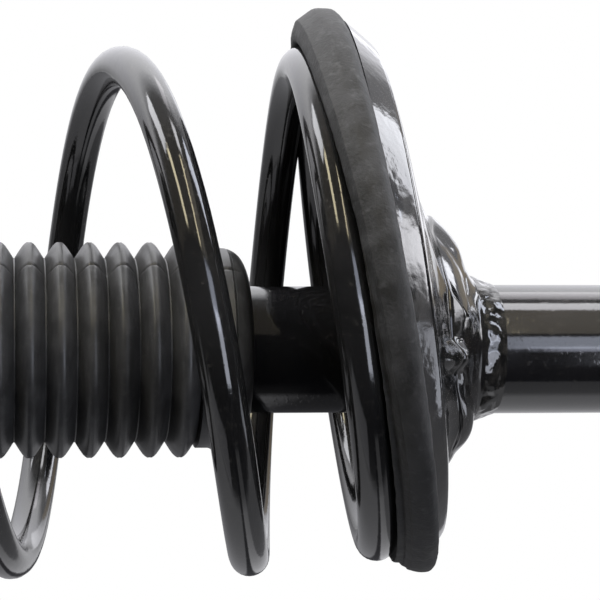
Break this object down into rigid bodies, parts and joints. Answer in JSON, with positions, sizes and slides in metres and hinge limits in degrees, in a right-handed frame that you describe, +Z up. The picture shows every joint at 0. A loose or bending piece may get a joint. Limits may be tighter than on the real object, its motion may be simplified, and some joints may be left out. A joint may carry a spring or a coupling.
{
  "type": "suspension strut assembly",
  "caption": "Front suspension strut: damper tube with knuckle clevis, coil spring on an offset tilted seat, bellows boot, thrust bearing and studded rubber top mount.",
  "frame": {"origin": "centre of the damper tube's closed lower end", "axes": "+Z up the damper axis to the top mount, +X towards the open side of the knuckle clevis and the higher side of the lower spring seat"},
  "size_m": [0.2166, 0.198, 0.59],
  "materials": {
    "gloss_black": "gloss black paint over pressed steel",
    "spring_black": "gloss black powder coat",
    "weld_black": "gloss black paint over a weld bead",
    "boot_rubber": "satin moulded rubber",
    "isolator_rubber": "matte moulded rubber",
    "mount_rubber": "matte bonded rubber",
    "bump_foam": "cellular urethane foam",
    "seal_rubber": "satin rubber",
    "chromed_steel": "ground and hard chromed",
    "zinc_steel": "zinc plated",
    "plain_steel": "bare turned steel",
    "sintered_iron": "sintered iron",
    "bearing_nylon": "moulded nylon",
    "piston_band_ptfe": "filled PTFE"
  },
  "bodies": {
    "top_mount": {"mount_plate": "zinc_steel", "mount_stud_1": "zinc_steel", "mount_stud_2": "zinc_steel", "mount_stud_3": "zinc_steel", "mount_cup": "gloss_black", "mount_rubber": "mount_rubber", "mount_sleeve": "plain_steel", "rod_washer": "zinc_steel", "rod_nut": "zinc_steel", "piston_rod": "chromed_steel", "piston": "sintered_iron", "piston_band": "piston_band_ptfe", "rebound_stop": "seal_rubber", "bump_stop": "bump_foam", "bump_stop_cup": "zinc_steel", "bearing_upper_race": "plain_steel"},
    "bearing_cage": {"bearing_ball_cage": "bearing_nylon"},
    "spring_group": {"bearing_lower_race": "plain_steel", "upper_spring_seat": "gloss_black", "upper_isolator": "isolator_rubber", "dust_boot": "boot_rubber", "coil_spring": "spring_black"},
    "damper_body": {"damper_tube": "gloss_black", "tube_end_cap": "gloss_black", "base_valve": "sintered_iron", "pressure_cylinder": "plain_steel", "rod_guide": "sintered_iron", "rod_seal": "seal_rubber", "gland_cap": "gloss_black", "lower_spring_seat": "gloss_black", "lower_isolator": "isolator_rubber", "seat_weld": "weld_black", "knuckle_bracket": "gloss_black", "bracket_upper_weld": "weld_black", "link_bracket": "gloss_black", "link_bracket_weld": "weld_black", "hose_bracket": "gloss_black", "hose_bracket_weld": "weld_black"}
  },
  "joints": [
    {"name": "steering_swivel", "type": "hinge", "parent": "top_mount", "child": "spring_group", "pos_m": [0, 0, 0.5243], "axis": [0, 0, 1], "range_deg": [-42, 42]},
    {"name": "bearing_cage_turn", "type": "hinge", "parent": "top_mount", "child": "bearing_cage", "pos_m": [0, 0, 0.5243], "axis": [0, 0, 1], "range_deg": [-21, 21]},
    {"name": "damper_stroke", "type": "slide", "parent": "spring_group", "child": "damper_body", "axis": [0, 0, 1], "range_m": [0, 0.14], "stiffness_N_per_m": 28000, "springref_m": -0.05, "deforming": ["coil_spring", "dust_boot"]}
  ],
  "couplings": [
    {"joint": "bearing_cage_turn", "follows": "steering_swivel", "ratio": 0.5}
  ]
}
